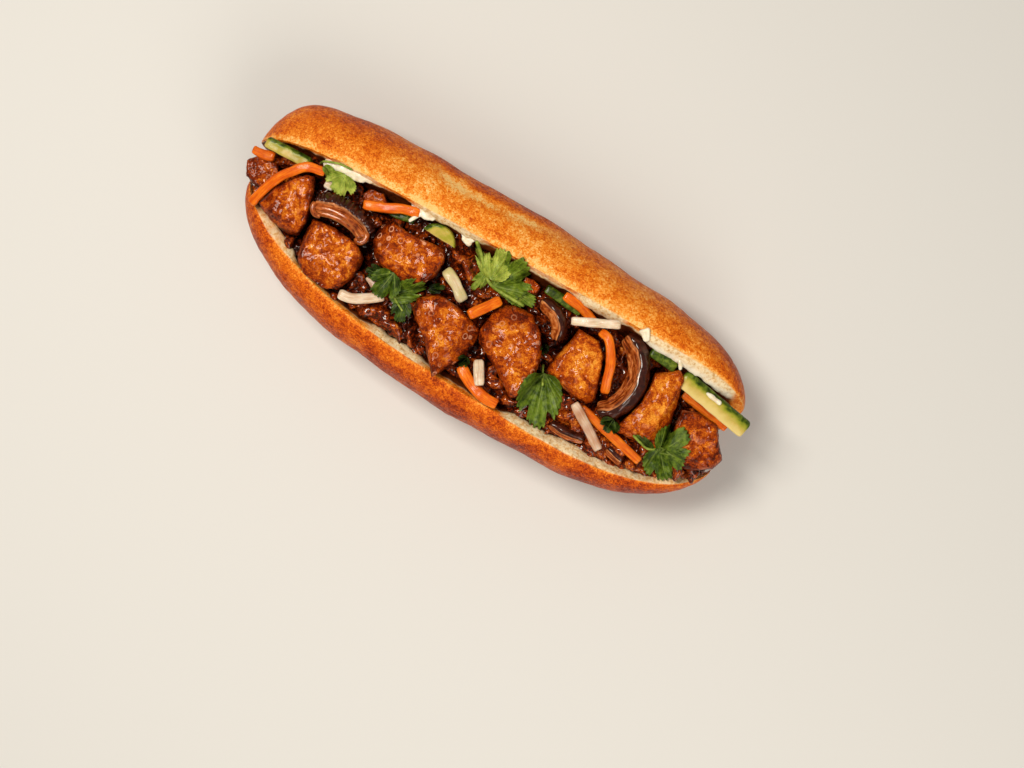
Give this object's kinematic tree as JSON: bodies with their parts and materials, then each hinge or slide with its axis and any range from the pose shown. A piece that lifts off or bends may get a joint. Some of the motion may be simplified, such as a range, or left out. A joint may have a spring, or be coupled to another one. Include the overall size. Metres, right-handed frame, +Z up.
{
  "type": "banh mi sandwich",
  "caption": "Long crisp roll slit along its length, standing open and filled with glazed fried tofu, mushroom, mince, pickled carrot and daikon, cucumber and cilantro.",
  "frame": {"origin": "middle of the bottom of the sandwich's box, on the surface it stands on", "axes": "+X along the roll, +Y towards the domed lid half, +Z up out of the open cut"},
  "size_m": [0.2572, 0.1004, 0.0643],
  "materials": {
    "bread_crust": "satin, baked",
    "fried_tofu": "glazed, crisp",
    "minced_filling": "glazed, uneven",
    "shiitake": "glazed, soft",
    "carrot": "wet",
    "daikon": "wet",
    "cucumber": "wet",
    "cilantro": "fresh leaf",
    "mayonnaise": "creamy"
  },
  "bodies": {
    "root": {"bread": "bread_crust", "mince": "minced_filling", "tofu_1": "fried_tofu", "tofu_2": "fried_tofu", "tofu_3": "fried_tofu", "tofu_4": "fried_tofu", "tofu_5": "fried_tofu", "tofu_6": "fried_tofu", "tofu_7": "fried_tofu", "tofu_8": "fried_tofu", "tofu_9": "fried_tofu", "tofu_10": "fried_tofu", "tofu_11": "fried_tofu", "shiitake_1": "shiitake", "shiitake_2": "shiitake", "shiitake_3": "shiitake", "shiitake_4": "shiitake", "shiitake_5": "shiitake", "carrot_1": "carrot", "carrot_2": "carrot", "carrot_3": "carrot", "carrot_4": "carrot", "carrot_5": "carrot", "carrot_6": "carrot", "carrot_7": "carrot", "carrot_8": "carrot", "carrot_9": "carrot", "daikon_1": "daikon", "daikon_2": "daikon", "daikon_3": "daikon", "daikon_4": "daikon", "daikon_5": "daikon", "daikon_6": "daikon", "daikon_7": "daikon", "cucumber_1": "cucumber", "cucumber_2": "cucumber", "cucumber_3": "cucumber", "cucumber_4": "cucumber", "cucumber_5": "cucumber", "cucumber_6": "cucumber"}
  },
  "joints": []
}
